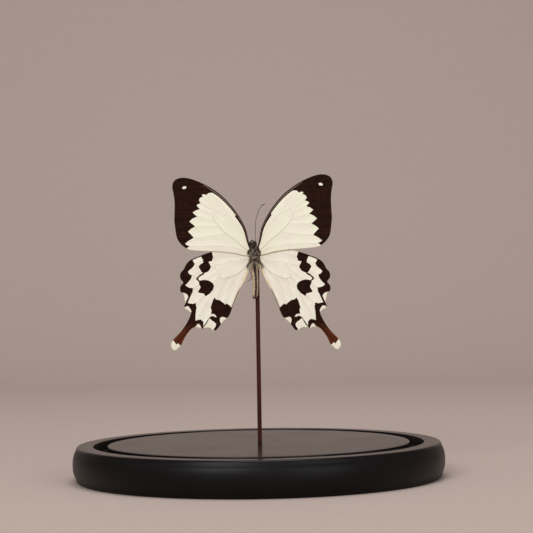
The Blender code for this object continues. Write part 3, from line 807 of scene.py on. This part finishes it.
class Loft:
    """A body through elliptical stations, as a smooth function of height and turn about the axis."""

    def __init__(self, stations):
        self.curve = catmull(stations, 10, False)
        self.low, self.high = self.curve[0, 0], self.curve[-1, 0]

    def at(self, height, turn, swell=1.0):
        """Points on the body, and the directions that face straight out of it."""
        heights = self.curve[:, 0]
        shift, sink, half_width, half_depth = (np.interp(height, heights, self.curve[:, k])
                                               for k in (1, 2, 3, 4))
        step = 0.3  # height over which the slope of the side is taken
        above, below = (np.interp(height + way * step, heights, self.curve[:, 3]) for way in (1, -1))
        x = shift + half_width * swell * np.cos(turn)
        y = sink + half_depth * swell * np.sin(turn)
        out = unit(np.stack([np.cos(turn) / half_width, np.sin(turn) / half_depth, 0 * x], -1))
        out[:, 2] = -(above - below) / (2 * step)
        return np.stack([x, y, height + 0 * x], -1), unit(out)


THORAX = Loft(THORAX_STATIONS)
ABDOMEN = Loft(ABDOMEN_STATIONS)


def ellipsoid(centre, half, rings, sides):
    """Ring points of an ellipsoid, pole to pole."""
    points = []
    for i in range(rings):
        tilt = -pi / 2 + pi * (i + 0.15) / (rings - 0.7)
        turn = np.arange(sides) * 2 * pi / sides
        ring = np.stack([cos(tilt) * np.cos(turn), cos(tilt) * np.sin(turn), np.full(sides, sin(tilt))], -1)
        points.append(centre + ring * half)
    return np.vstack(points)


def lumps(points, size, seed):
    """A smooth random field from -1 to 1, with features of about that size in millimetres."""
    random = np.random.default_rng(seed)
    total = np.zeros(len(points))
    for _ in range(7):
        wave = random.normal(size=3)
        wave *= 2 * pi / (size * 2.0) / np.linalg.norm(wave)
        total += np.sin(points @ wave + random.uniform(0, 2 * pi))
    return np.clip(total / 3.2, -1, 1)


def chitin(name, low, high, gloss=0.38):
    """Dark insect cuticle: mottled, finely pitted, softly glossy."""
    s = Shader(name)
    mottle = s.noise(900, detail=3.0)
    colour = s.mix(s.step(mottle, 0.35, 0.7), low, high)
    rough = s.step(mottle, 0.3, 0.7, gloss + 0.12, gloss - 0.06)
    return s.finish(Base_Color=colour, Roughness=rough, Normal=s.bump(s.cells(9000), 0.00002, 0.4))


def eye_surface():
    """Compound eye: dark brown, glossy, with a fine hexagonal facet pattern."""
    s = Shader("eye_facets")
    tint = s.noise(700, detail=1.0)
    colour = s.mix(s.step(tint, 0.35, 0.65), srgb(26, 16, 12), srgb(52, 34, 24))
    normal = s.bump(s.cells(14000), 0.00002, 0.7)
    return s.finish(Base_Color=colour, Roughness=0.22, Normal=normal, Coat_Weight=0.3)


def hair(name):
    """Hair-scales whose colour runs from black to pale by the strand's own tone, grey or olive."""
    s = Shader(name)
    tone, warm = s.attribute("tone"), s.attribute("warm")
    pale = s.mix(warm, srgb(214, 204, 190), srgb(208, 178, 134))
    middle = s.mix(warm, srgb(120, 106, 94), srgb(122, 98, 68))
    colour = s.layered(srgb(42, 29, 22), (
        (s.step(tone, 0.05, 0.5), middle),
        (s.step(tone, 0.5, 1.0), pale),
        (s.step(s.noise(3500, detail=2.0), 0.55, 0.8, 0.3), srgb(34, 23, 17)),
    ))
    return s.finish(Base_Color=colour, Roughness=0.58, Specular_IOR_Level=0.25)


def strands(name, roots, ways, lengths, radius, bends, tone, warm, slot):
    """Many tapered three-sided hairs in one mesh: each leaves its root along its way and bends over."""
    count = len(roots)
    ways = unit(ways)
    across = unit(np.cross(ways, np.tile((0.36, 0.48, 0.8), (count, 1))))
    other = np.cross(ways, across)
    rings = []
    for share, thickness in STRAND_RINGS:
        centre = roots + lengths[:, None] * (share * ways + share ** 2 * bends)
        for side in range(3):
            turn = 2 * pi * side / 3
            reach = radius[:, None] * thickness
            rings.append(centre + reach * (cos(turn) * across + sin(turn) * other))
    rings.append(roots + lengths[:, None] * (ways + bends))
    points = np.stack(rings, 1).reshape(-1, 3)
    pattern = [(2, 1, 0)]
    for low in (0, 3):
        for i in range(3):
            j = (i + 1) % 3
            pattern.append((low + i, low + j, low + 3 + j))
            pattern.append((low + i, low + 3 + j, low + 3 + i))
    pattern += [(6, 7, 9), (7, 8, 9), (8, 6, 9)]
    each = len(rings)
    starts = each * np.arange(count)[:, None, None]
    faces = (starts + np.array(pattern)[None]).reshape(-1, 3).tolist()
    values = {"tone": np.repeat(tone, each), "warm": np.repeat(warm, each)}
    piece(name, points, faces, BODY_HAIR, slot, attributes=values)


def painted(roots, tone, warm, spots):
    """The back hairs' tone and warmth, drawn towards those of the spots that they grow in."""
    for x, z, reach, spot_tone, spot_warm in spots:
        gap = np.hypot(roots[:, 0] - x, roots[:, 2] - z)
        share = np.exp(-(gap / reach) ** 4) * (roots[:, 1] < 0.6)
        tone = tone + share * (spot_tone - tone)
        warm = warm + share * (spot_warm - warm)
    return tone, warm


def thorax():
    """The thorax under its hair, with two shallow furrows down its back."""
    sides = 64
    turn = np.arange(sides) * 2 * pi / sides
    across = np.sin(turn - DORSAL)
    furrows = 1 - 0.05 * sum(np.exp(-((across - place) / 0.12) ** 2) for place in (0.42, -0.42))
    heights = np.linspace(THORAX.low, THORAX.high, 60)
    points = np.vstack([THORAX.at(np.full(sides, height), turn, furrows)[0] for height in heights])
    points += lumps(points, 1.1, 3)[:, None] * 0.06
    skin = chitin("thorax_skin", srgb(22, 18, 17), srgb(52, 44, 38), 0.6)
    piece("thorax_body", *joined((points, sides)), skin, "body_fur", ["thorax"])


def thorax_fur():
    """Dense hair on the thorax: black and grey on the back, olive at the sides, paler below."""
    random = np.random.default_rng(11)
    count = THORAX_HAIRS
    height = random.uniform(THORAX.low + 0.2, THORAX.high, count)
    turn = random.uniform(-pi, pi, count)
    roots, out = THORAX.at(height, turn)
    back = -np.sin(turn)
    flank = np.abs(np.cos(turn)) ** 3
    ways = out * (0.45 + 0.35 * flank)[:, None] + random.normal(0, 0.22, (count, 3))
    ways += 0.75 * DOWN * (0.6 + 0.4 * back)[:, None]
    lengths = random.uniform(0.8, 1.35, count) * (1 + 0.25 * flank)
    pale = share_of((lumps(roots, 0.75, 21) - 0.28) * 4) * np.clip((roots[:, 2] + 1.0) / 3.0, 0.25, 1)
    pale *= share_of(1.2 - flank * 1.4)
    tone = 0.12 + 0.65 * pale + 0.15 * flank + random.uniform(-0.1, 0.28, count)
    tone += 0.30 * share_of((1.4 - roots[:, 2]) / 2.0)
    tone = np.where(back < -0.35, 0.55 + 0.35 * random.uniform(0, 1, count), tone)
    warm = share_of(flank * 1.5 + np.where(back < -0.3, 0.7, 0) + random.uniform(-0.1, 0.1, count))
    tone, warm = painted(roots, tone, warm, THORAX_SPOTS)
    # short hair in the notch between the shoulders and the side tufts
    notch = (np.abs(roots[:, 0] + 0.35) > 1.9) & (back > 0) & (roots[:, 2] > 1.2) & (roots[:, 2] < 2.8)
    lengths = np.where(notch, 0.25, lengths)
    bends = 0.28 * DOWN - 0.22 * out
    radius = random.uniform(0.035, 0.06, count)
    strands("thorax_hair", roots, ways, lengths, radius, bends, tone, warm, "body_fur")


def tuft(random, side, count, low, high, way, spread, lengths, tones, warmths):
    """Hairs that start along a line and share one direction, as inputs of strands after its name."""
    low, high, way = (np.array(point) * (side, 1, 1) for point in (low, high, way))
    along = random.uniform(0, 1, (count, 1))
    start = low + along * (high - low) + random.normal(0, spread, (count, 3))
    ways = way / np.linalg.norm(way) + random.normal(0, 0.16, (count, 3))
    lengths = random.uniform(*lengths, count)
    radius = random.uniform(0.03, 0.05, count)
    tones = random.uniform(*tones, count)
    warmths = random.uniform(*warmths, count)
    return start, ways, lengths, radius, np.tile(TUFT_BEND, (count, 1)), tones, warmths


def tufts():
    """Tufts round the wing roots: dark shoulders and collar, grey sides that thin out to fine lines."""
    random = np.random.default_rng(12)
    parts = [tuft(random, side, *row) for side in (-1, 1) for row in (SHOULDERS[side], *TUFTS)]
    strands("wing_root_tufts", *(np.concatenate(group) for group in zip(*parts)), "body_fur")


def abdomen_skin():
    """Abdomen scales: dark stripe down the back, cream sides with a dark line, reddish tip."""
    s = Shader("abdomen_scales")
    ragged = s.times(s.add(s.noise(1600, detail=3.0), -0.5), 0.5)
    away = s.add(s.attribute("away"), ragged)
    band = s.attribute("band")
    cream = s.mix(s.noise(600, detail=3.0), srgb(234, 208, 174), srgb(208, 178, 144))
    dark = s.mix(s.noise(800, detail=2.0), srgb(40, 25, 19), srgb(76, 52, 42))
    low_line = s.times(s.step(away, 1.75, 1.85), s.step(away, 2.1, 2.0))
    colour = s.layered(cream, (
        (s.step(s.add(away, s.times(band, -0.16)), 0.44, 0.30), dark),
        (s.times(low_line, 0.8), dark),
        (s.step(away, 2.75, 2.9), dark),
        (s.times(s.step(band, 0.72, 0.95), 0.4), srgb(94, 66, 48)),
        (s.step(s.attribute("tip"), 0.35, 0.85, 0.9), srgb(84, 38, 26)),
    ))
    normal = s.bump(s.cells(5200, (1, 1, 0.5)), 0.00006, 0.6)
    return s.finish(Base_Color=colour, Roughness=0.62, Normal=normal, Sheen_Weight=0.1)


def from_stripe(turn):
    """How far a turn about the axis is from the dark stripe's centre, in radians."""
    return np.abs(np.mod(turn - STRIPE_CENTRE + pi, 2 * pi) - pi)


def banding(height):
    """How near a height is to the rear edge of its abdomen segment, from 0 to 1."""
    return np.mod((ABDOMEN.high - height) / SEGMENT, 1.0)


def abdomen():
    """Segmented abdomen: each segment swells towards its rear edge and overlaps the next."""
    rings, sides = 170, 48
    heights = np.linspace(ABDOMEN.low, ABDOMEN.high, rings)
    turn = np.arange(sides) * 2 * pi / sides
    pleat = 1 - 0.03 * np.exp(-((np.abs(np.sin(turn)) - 0.25) / 0.1) ** 2)
    points = []
    for height in heights:
        share = banding(height)
        swell = 0.955 + 0.065 * share ** 1.5 * (1 - share_of((share - 0.93) / 0.07))
        points.append(ABDOMEN.at(np.full(sides, height), turn, swell * pleat)[0])
    values = {
        "away": np.tile(from_stripe(turn), rings),
        "band": np.repeat(banding(heights), sides),
        "tip": np.repeat(share_of((-18.6 - heights) / 3.0), sides),
    }
    mesh = joined((np.vstack(points), sides))
    piece("abdomen_body", *mesh, abdomen_skin(), "body_fur", ["abdomen"], values)


def abdomen_fur():
    """Short lying scales and hairs on the abdomen, dark on the back stripe and cream beside it."""
    random = np.random.default_rng(14)
    count = ABDOMEN_HAIRS
    height = random.uniform(ABDOMEN.low + 0.4, ABDOMEN.high - 0.4, count)
    turn = random.uniform(-pi, pi, count)
    roots, out = ABDOMEN.at(height, turn, 0.97)
    away = from_stripe(turn)
    dark = away + random.normal(0, 0.05, count) - 0.10 * banding(height) < STRIPE_HALF
    line = np.abs(away - 1.95) < 0.12
    tone = np.where(dark | line, 0.12, 0.95) + random.uniform(-0.08, 0.05, count)
    tone = np.where(height < -20.6, 0.35, tone)
    ways = out * 0.30 + DOWN + random.normal(0, 0.13, (count, 3))
    lengths = random.uniform(0.35, 0.75, count) + 0.6 * share_of((height + 6.5) / 3)
    radius = random.uniform(0.025, 0.04, count)
    warm = np.where(dark, 0.4, 0.75) + random.uniform(-0.1, 0.1, count)
    strands("abdomen_hair", roots, ways, lengths, radius, -0.22 * out, tone, warm, "body_fur")


def head():
    """Head capsule, with round eyes at its sides and two upright palps."""
    points = ellipsoid(HEAD_CENTRE, HEAD_HALF, 26, 32)
    points += lumps(points, 0.8, 5)[:, None] * 0.05
    palps = [(ellipsoid(HEAD_CENTRE + PALP_OFFSET * (side, 1, 1), PALP_HALF, 14, 16), 16) for side in (-1, 1)]
    skin = chitin("head_skin", srgb(20, 15, 13), srgb(46, 36, 30), 0.5)
    piece("head_capsule", *joined((points, 32), *palps), skin, "dark_chitin", ["head"])
    gloss = eye_surface()
    for side, label in ((-1, "left"), (1, "right")):
        eye = ellipsoid(HEAD_CENTRE + EYE_OFFSET * (side, 1, 1), np.full(3, EYE_RADIUS), 24, 32)
        piece(f"eye_{label}", *joined((eye, 32)), gloss, "dark_chitin")


def head_fur():
    """Short hair on the head, black with pale streaks, kept off the eyes."""
    random = np.random.default_rng(15)
    directions = unit(random.normal(size=(HEAD_HAIRS, 3)))
    roots = HEAD_CENTRE + directions * HEAD_HALF * 0.98
    keep = np.ones(len(roots), bool)
    for side in (-1, 1):
        gap = np.linalg.norm(roots - (HEAD_CENTRE + EYE_OFFSET * (side, 1, 1)), axis=1)
        keep &= gap > 0.82 * EYE_RADIUS
    roots, directions = roots[keep], directions[keep]
    count = len(roots)
    tone = 0.04 + 0.4 * share_of((lumps(roots, 0.6, 31) - 0.15) * 4) + random.uniform(0, 0.26, count)
    ways = directions * 0.8 + np.array((0, -0.1, -0.25)) + random.normal(0, 0.25, (count, 3))
    lengths = random.uniform(0.45, 0.95, count) + 0.6 * share_of(directions[:, 2])
    bends = np.tile((0, 0.05, -0.15), (count, 1))
    radius = random.uniform(0.03, 0.05, count)
    warm = random.uniform(0.0, 0.35, count)
    tone, warm = painted(roots, tone, warm, HEAD_SPOTS)
    strands("head_hair", roots, ways, lengths, radius, bends, tone, warm, "dark_chitin")


# ---------------------------------------------------------------- legs, antenna and tongue

LEG_ROUTES = {
    "leg_front_left": ((-0.9, 4.5, 3.6), (-2.0, 5.7, 5.9), (-1.5, 6.5, 2.4), (-1.2, 6.3, -0.8)),
    "leg_front_right": ((0.9, 4.5, 3.6), (2.0, 5.7, 5.9), (1.5, 6.5, 2.4), (1.2, 6.3, -0.8)),
    "leg_middle_left": ((-1.1, 4.8, 1.4), (-2.6, 5.4, 3.4), (-2.2, 5.2, -3.6), (-0.95, 2.7, -13.3)),
    "leg_middle_right": ((1.1, 4.8, 1.4), (2.6, 5.4, 3.4), (2.6, 5.6, -1.2), (1.9, 5.9, -5.6)),
    "leg_hind_left": ((-1.2, 4.7, -0.8), (-3.2, 4.6, 0.8), (-2.9, 3.2, -6.2), (-1.75, 2.3, -10.6),
                      (-4.35, 1.9, -12.9)),
    "leg_hind_right": ((1.2, 4.7, -0.8), (3.2, 4.7, 0.8), (2.4, 5.0, -4.6), (1.0, 5.0, -9.4)),
}
LEG_RADIUS = 0.28
ANTENNA_ROUTE = (
    (0.35, -0.2, 8.4), (1.05, -0.4, 9.0), (0.9, -1.0, 11.2), (0.86, -1.2, 13.9), (1.05, -1.3, 17.2),
    (1.46, -1.35, 20.6), (2.2, -1.35, 23.2), (3.24, -1.35, 25.75), (4.5, -1.35, 27.75),
    (5.5, -1.35, 28.5), (6.65, -1.35, 28.95),
)
ANTENNA_RADIUS = 0.15
ANTENNA_RINGS = 44
STUMP_ROUTE = ((-1.5, -0.35, 8.65), (-1.65, -0.42, 8.95), (-1.75, -0.5, 9.25))
KNEE_BEND = 0.28  # how far before and after a knee its rounding reaches
SPINE_GAP = 5  # rings of the leg from one spine to the next
SPINE_RADII = (0.035, 0.028, 0.018, 0.006)
TONGUE_TURNS = 2.25
TONGUE_RADIUS = 1.05
TONGUE_PITCH = 0.36
TONGUE_CENTRE = np.array((-0.75, 3.1, 7.6))


def softened(route, spacing):
    """A jointed route with straight limbs and slightly rounded knees, as even points."""
    corners = [np.array(point, float) for point in route]
    path = [corners[0]]
    for before, here, after in zip(corners[:-2], corners[1:-1], corners[2:]):
        start, end = (here + KNEE_BEND * unit([other - here])[0] for other in (before, after))
        for share in (0.0, 0.33, 0.67, 1.0):
            path.append((1 - share) ** 2 * start + 2 * share * (1 - share) * here + share ** 2 * end)
    path.append(corners[-1])
    return evenly(np.array(path), spacing, False)


def leg_radii(along, femur_end, tibia_end):
    """A leg's radius at each place along it: a swollen femur, a slim tibia and a ringed tarsus."""
    radii = np.empty(len(along))
    for i, place in enumerate(along):
        if place < femur_end:
            radii[i] = 0.95 + 0.25 * sin(pi * place / femur_end)
        elif place < tibia_end:
            share = (place - femur_end) / (tibia_end - femur_end)
            radii[i] = 0.72 - 0.14 * share + 0.12 * (share > 0.93)
        else:
            radii[i] = 0.42 + 0.14 * ((place - tibia_end) % 1.0)
    radii[0] *= 0.8
    radii[-1] *= 0.4
    return LEG_RADIUS * radii


def leg(name, route, material):
    """A folded leg: stout coxa and femur, spined tibia, and a thin tarsus of short ringed pieces."""
    path = softened(route, 0.12)
    lengths = np.cumsum(np.linalg.norm(np.diff(np.array(route), axis=0), axis=1))
    radii = leg_radii(np.linspace(0, lengths[-1], len(path)), lengths[0], lengths[1])
    tubes = [(tube_rings(path, radii, TUBE_SIDES), TUBE_SIDES)]
    start = int(len(path) * lengths[0] / lengths[-1]) + 4
    for number, i in enumerate(range(start, len(path) - 3, SPINE_GAP)):
        direction = path[i + 1] - path[i]
        direction /= np.linalg.norm(direction)
        away = np.cross(direction, (0.4, 0.8, 0.3 if number % 2 else -0.9))
        away *= (1 if number % 4 < 2 else -1) / np.linalg.norm(away)
        root = path[i] + away * radii[i] * 0.7
        spine = root + np.outer(np.linspace(0, 1, 4), 0.34 * away + 0.30 * direction)
        tubes.append((tube_rings(spine, SPINE_RADII, 4), 4))
    piece(f"{name}_jointed", *joined(*tubes), material, "dark_chitin", [name])


def thread(name, path, radii, material, replaced=()):
    """A thin round tube along a path."""
    mesh = joined((tube_rings(path, radii, TUBE_SIDES), TUBE_SIDES))
    piece(name, *mesh, material, "dark_chitin", replaced)


def antenna(material):
    """The one antenna, a thread of many short rings with a slight club, and the lost one's stump."""
    path = evenly(catmull(ANTENNA_ROUTE, 16, False), 0.09, False)
    share = np.linspace(0, 1, len(path))
    club = np.exp(-((share - 0.955) / 0.045) ** 2)
    radii = ANTENNA_RADIUS * (0.78 + 0.16 * np.mod(share * ANTENNA_RINGS, 1.0) + 0.95 * club)
    radii[:6] *= np.linspace(1.9, 1.1, 6)
    radii[-3:] *= (0.85, 0.6, 0.25)
    thread("antenna_ringed", path, radii, material, ["antenna_right"])
    thread("antenna_stump", STUMP_ROUTE, (0.24, 0.2, 0.13), material)


def tongue(material):
    """The proboscis, coiled flat below the head and tapering inwards, with fine rings."""
    share = np.linspace(0, 1, 120)
    turn = 2 * pi * TONGUE_TURNS * share
    radius = TONGUE_RADIUS - TONGUE_PITCH * TONGUE_TURNS * share
    path = TONGUE_CENTRE + np.stack([0 * turn, -radius * np.cos(turn), -radius * np.sin(turn)], -1)
    radii = 0.14 * (1 - 0.45 * share) * (1 + 0.05 * np.sin(share * 260))
    radii[-1] *= 0.3
    thread("tongue_coil", path, radii, material, ["proboscis"])


# ---------------------------------------------------------------- stage, lights and camera

LIGHT_AIM = (0, 0, 0.1)
CAMERA_PLACE = Vector((0, -0.921, BASE_TOP + 0.082))
CAMERA_TURNS = radians(0.36), radians(-0.8), radians(0.95)  # to the right, down, and about its own axis
CAMERA_LENS = 115.1  # mm, on a sensor 36 mm wide


def paper():
    """Plain pale seamless paper."""
    s = Shader("pale_paper")
    fibre = s.noise(300, detail=2.0)
    colour = s.mix(s.step(fibre, 0.3, 0.7), srgb(179, 162, 153), srgb(182, 165, 156))
    return s.finish(Base_Color=colour, Roughness=0.9, Specular_IOR_Level=0.2)


def stage():
    """A seamless sweep: floor, curve and backdrop in one sheet, in metres."""
    width, near, far, bend, height = 5.0, -2.2, 1.5, 0.6, 3.4
    profile = [(near, 0.0), (far - bend, 0.0)]
    profile += [(far - bend + bend * sin(t), bend - bend * cos(t)) for t in np.linspace(0.1, pi / 2, 14)]
    profile.append((far, height))
    points = [(x, y, z) for x in (-width, width) for y, z in profile]
    count = len(profile)
    mesh = bpy.data.meshes.new("sweep")
    mesh.from_pydata(points, [], [(i, count + i, count + i + 1, i + 1) for i in range(count - 1)])
    mesh.shade_smooth()
    mesh.materials.append(paper())
    linked("sweep", mesh)


def area_light(name, place, target, size, power):
    """A soft square light that faces its target."""
    data = bpy.data.lights.new(name, "AREA")
    data.energy = power
    data.size = size
    lamp = linked(name, data)
    lamp.location = place
    lamp.rotation_euler = (Vector(target) - Vector(place)).to_track_quat("-Z", "Y").to_euler()


def lights():
    """Soft studio light: a big front light, a fill, a top light, and an even pale surround."""
    world = bpy.data.worlds.new("studio")
    world.use_nodes = True
    background = world.node_tree.nodes["Background"].inputs
    background["Color"].default_value = (0.96, 0.97, 1.0, 1.0)
    background["Strength"].default_value = 0.32
    bpy.context.scene.world = world
    area_light("front_light", (-0.7, -1.6, 1.1), LIGHT_AIM, 0.9, 21)
    area_light("fill_light", (0.9, -1.3, 0.6), LIGHT_AIM, 0.8, 6.5)
    area_light("top_light", (0.1, -0.1, 1.5), LIGHT_AIM, 0.8, 8)
    area_light("backdrop_light", (0, 0.5, 1.5), (0, 1.5, 0.6), 1.2, 4)
    bpy.context.scene.view_settings.view_transform = "Standard"


def camera():
    """A long lens almost level with the butterfly, square on to its back."""
    yaw, pitch, roll = CAMERA_TURNS
    forward = Vector((sin(yaw) * cos(pitch), cos(yaw) * cos(pitch), -sin(pitch)))
    right = Vector((cos(yaw), -sin(yaw), 0))
    up = right.cross(forward)
    x_axis = right * cos(roll) - up * sin(roll)
    y_axis = right * sin(roll) + up * cos(roll)
    data = bpy.data.cameras.new("camera")
    data.sensor_width = 36.0
    data.lens = CAMERA_LENS
    made = linked("camera", data)
    turn = Matrix((x_axis, y_axis, -forward)).transposed()
    made.matrix_world = Matrix.Translation(CAMERA_PLACE) @ turn.to_4x4()
    bpy.context.scene.camera = made


BODY_HAIR = hair("body_hair")

camera()
lights()
stage()
base()
rod()
wings()
thorax()
thorax_fur()
tufts()
abdomen()
abdomen_fur()
head()
head_fur()
LIMB = chitin("limb_chitin", srgb(24, 16, 12), srgb(58, 40, 28))
for leg_name, leg_route in LEG_ROUTES.items():
    leg(leg_name, leg_route, LIMB)
antenna(LIMB)
tongue(LIMB)
